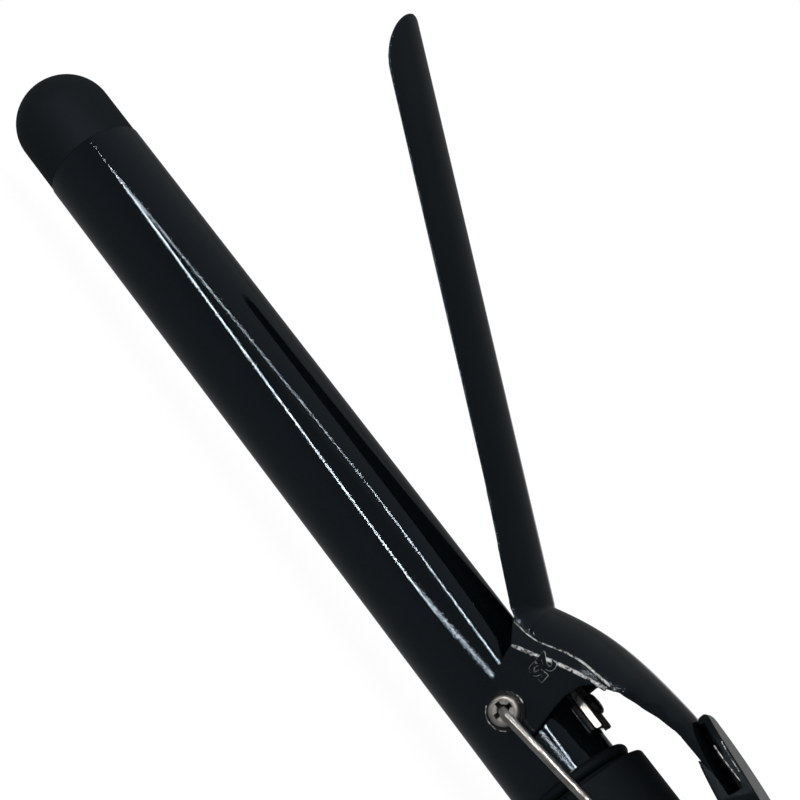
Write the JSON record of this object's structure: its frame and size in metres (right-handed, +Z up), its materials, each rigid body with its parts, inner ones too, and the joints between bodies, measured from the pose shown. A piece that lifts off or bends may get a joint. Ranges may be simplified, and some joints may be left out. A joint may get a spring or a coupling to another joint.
{
  "type": "curling iron",
  "caption": "Spring-clamp curling iron with a 25 mm barrel, a pressed spoon clamp with thumb lever, a folding wire stand and a swivelling cord outlet.",
  "frame": {"origin": "bottom centre of the whole iron, on the surface its folded wire stand touches", "axes": "+X from the barrel's tip towards the handle's cord end, +Z up towards the thumb lever, Y along the clamp's pivot"},
  "size_m": [0.3712, 0.0406, 0.102],
  "materials": {
    "gloss_coat": "gloss blue-black baked coating",
    "satin_coat": "satin blue-black powder coating",
    "gloss_plastic": "gloss heat-proof moulding",
    "matt_plastic": "satin moulding",
    "steel": "bright nickel-plated steel",
    "spring_steel": "polished spring steel",
    "black_steel": "black-finished steel",
    "aluminium": "extruded",
    "ceramic": "sintered",
    "board": "glass-epoxy board with its parts",
    "lead_red": "silicone-insulated wire",
    "lead_white": "silicone-insulated wire",
    "amber": "tinted clear moulding"
  },
  "bodies": {
    "iron": {"barrel_tube": "gloss_coat", "tip_cap": "gloss_plastic", "heat_spreader_upper": "aluminium", "heat_spreader_lower": "aluminium", "ptc_heater": "ceramic", "thermal_fuse": "ceramic", "temperature_sensor": "ceramic", "heater_lead_live": "lead_red", "heater_lead_neutral": "lead_white", "pivot_bracket": "black_steel", "clamp_spring": "spring_steel", "spring_screw": "black_steel", "pivot_screw_near": "steel", "pivot_washer_near": "black_steel", "pivot_screw_far": "steel", "pivot_washer_far": "black_steel", "heat_collar": "matt_plastic", "handle_shell_upper": "matt_plastic", "handle_shell_lower": "matt_plastic", "shell_screw_front": "steel", "shell_screw_rear": "steel", "circuit_board": "board", "slide_switch": "black_steel", "indicator_led": "amber", "indicator_lens": "amber", "rear_cap": "matt_plastic"},
    "clamp": {"clamp_lever": "satin_coat", "thumb_grip": "gloss_plastic"},
    "stand": {"wire_stand": "steel"},
    "switch_slider": {"power_slider": "matt_plastic"},
    "cord_swivel": {"swivel_gland": "matt_plastic"}
  },
  "joints": [
    {"name": "clamp_hinge", "type": "hinge", "parent": "iron", "child": "clamp", "pos_m": [0.0096, 0, 0.02065], "axis": [0, 1, 0], "range_deg": [-25, 3], "stiffness_Nm_per_rad": 0.35, "springref_deg": -45.84, "deforming": ["clamp_spring"]},
    {"name": "stand_hinge", "type": "hinge", "parent": "iron", "child": "stand", "pos_m": [0.0096, 0, 0.02065], "axis": [0, 1, 0], "range_deg": [0, 105]},
    {"name": "switch_slide", "type": "slide", "parent": "iron", "child": "switch_slider", "axis": [1, 0, 0], "range_m": [0, 0.004]},
    {"name": "cord_swivel_spin", "type": "hinge", "parent": "iron", "child": "cord_swivel", "pos_m": [0.1596, 0, 0.01995], "axis": [1, 0, 0], "continuous": true}
  ]
}
